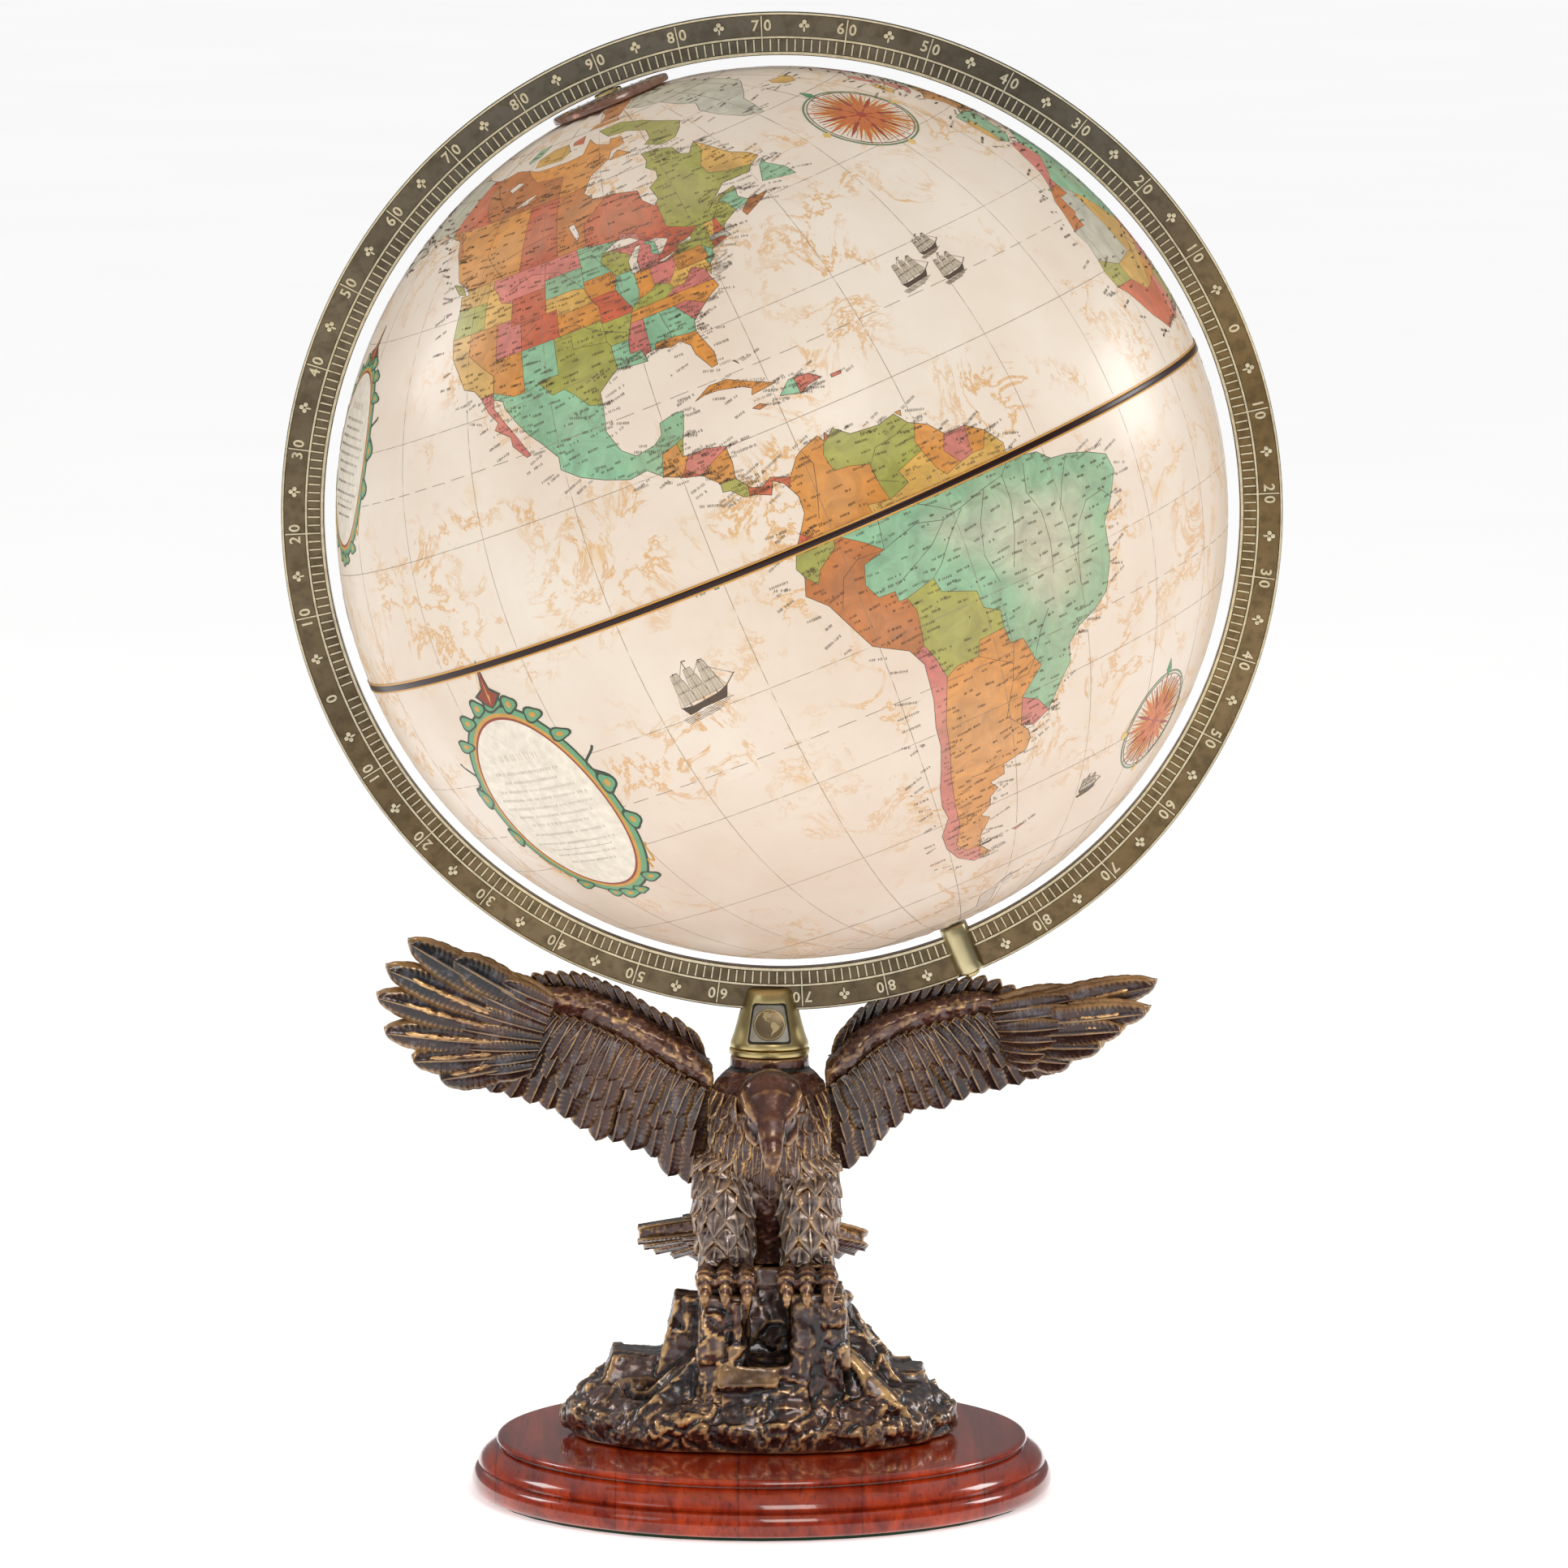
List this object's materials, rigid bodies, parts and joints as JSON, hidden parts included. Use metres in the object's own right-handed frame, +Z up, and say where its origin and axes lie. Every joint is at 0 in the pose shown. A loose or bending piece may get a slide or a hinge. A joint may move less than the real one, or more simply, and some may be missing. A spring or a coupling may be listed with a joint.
{
  "type": "desktop globe on stand",
  "caption": "Desktop globe spinning in a graduated full meridian ring that slides through a collar on a spread-winged eagle over a round wooden plinth.",
  "frame": {"origin": "on the table under the centre of the meridian ring, which is the middle of the object's bounding box seen from above", "axes": "+Z up, +X to the right of a viewer facing the eagle's front, -Y towards that viewer"},
  "size_m": [0.3416, 0.3064, 0.5094],
  "materials": {
    "plinth_wood": "glossy red-brown lacquer",
    "felt": "dark green felt",
    "rock_bronze": "bronze-painted cast resin, gold-rubbed edges",
    "eagle_bronze": "bronze-painted cast resin, gold-rubbed edges",
    "bright_brass": "satin antique brass",
    "emblem_pewter": "dark antique relief",
    "ring_brass": "antiqued cast metal, raised scale",
    "steel": "plain turned steel",
    "nylon": "natural nylon",
    "copper_disc": "thin copper friction disc",
    "smoked_acrylic": "smoky translucent brown plastic",
    "map_shell": "varnished printed map, parchment oceans",
    "equator_tape": "black line edged in gold",
    "fibreboard": "plain pressed board"
  },
  "bodies": {
    "stand": {"wood_plinth": "plinth_wood", "felt_pad": "felt", "plinth_screw_left": "steel", "plinth_screw_right": "steel", "tie_rod": "steel", "tie_nut": "steel", "tie_washer": "steel", "rock_base": "rock_bronze", "eagle_body": "eagle_bronze", "eagle_wing_left": "eagle_bronze", "eagle_wing_right": "eagle_bronze", "eagle_tail": "eagle_bronze", "wing_pin_left": "steel", "wing_pin_right": "steel", "collar": "bright_brass", "collar_band": "bright_brass", "emblem_front": "emblem_pewter", "emblem_back": "emblem_pewter", "friction_shoe": "nylon", "shoe_spring": "steel"},
    "meridian": {"meridian_ring": "ring_brass", "south_clip": "bright_brass", "south_pin": "steel", "south_thrust_washer": "nylon", "north_pin": "steel", "north_spacer": "bright_brass", "dial_washer": "copper_disc"},
    "globe": {"hemisphere_north": "map_shell", "hemisphere_south": "map_shell", "equator_joint_band": "fibreboard", "equator_tape": "equator_tape", "north_grommet": "bright_brass", "south_grommet": "bright_brass"},
    "time_dial": {"time_dial": "smoked_acrylic"}
  },
  "joints": [
    {"name": "meridian_turn", "type": "hinge", "parent": "stand", "child": "meridian", "pos_m": [0, 0, 0.3385], "axis": [0, 1, 0], "range_deg": [-330, 18]},
    {"name": "globe_spin", "type": "hinge", "parent": "meridian", "child": "globe", "pos_m": [0, 0, 0.3385], "axis": [-0.3811, 0, 0.9245], "continuous": true},
    {"name": "dial_spin", "type": "hinge", "parent": "meridian", "child": "time_dial", "pos_m": [0, 0, 0.3385], "axis": [-0.3811, 0, 0.9245], "continuous": true}
  ]
}
